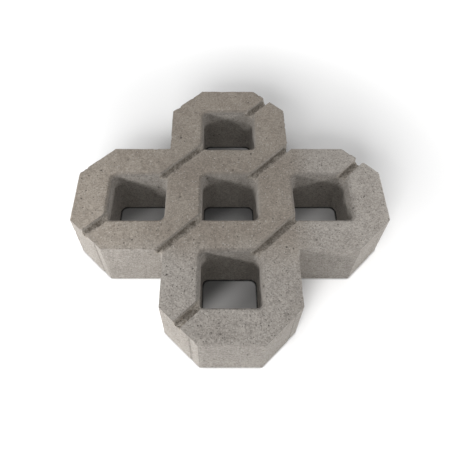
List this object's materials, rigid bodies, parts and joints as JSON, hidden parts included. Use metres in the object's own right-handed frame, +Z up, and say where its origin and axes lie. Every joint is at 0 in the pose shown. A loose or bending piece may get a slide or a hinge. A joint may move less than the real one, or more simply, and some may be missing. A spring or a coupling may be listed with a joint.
{
  "type": "grass paver",
  "caption": "Cross-shaped concrete paving block with square planting holes, cut arm corners and diagonal drain grooves, for laying a grassed drive or car park.",
  "frame": {"origin": "centre of the bottom face, on the bed that the block lies on", "axes": "+Z up through the walking face, with the arms along X and Y, and the drain grooves along the diagonal from -X -Y to +X +Y"},
  "size_m": [0.43, 0.43, 0.08],
  "materials": {
    "concrete": "matt pressed concrete, fine sand grain with small open pores"
  },
  "bodies": {
    "root": {"paver_block": "concrete"}
  },
  "joints": []
}
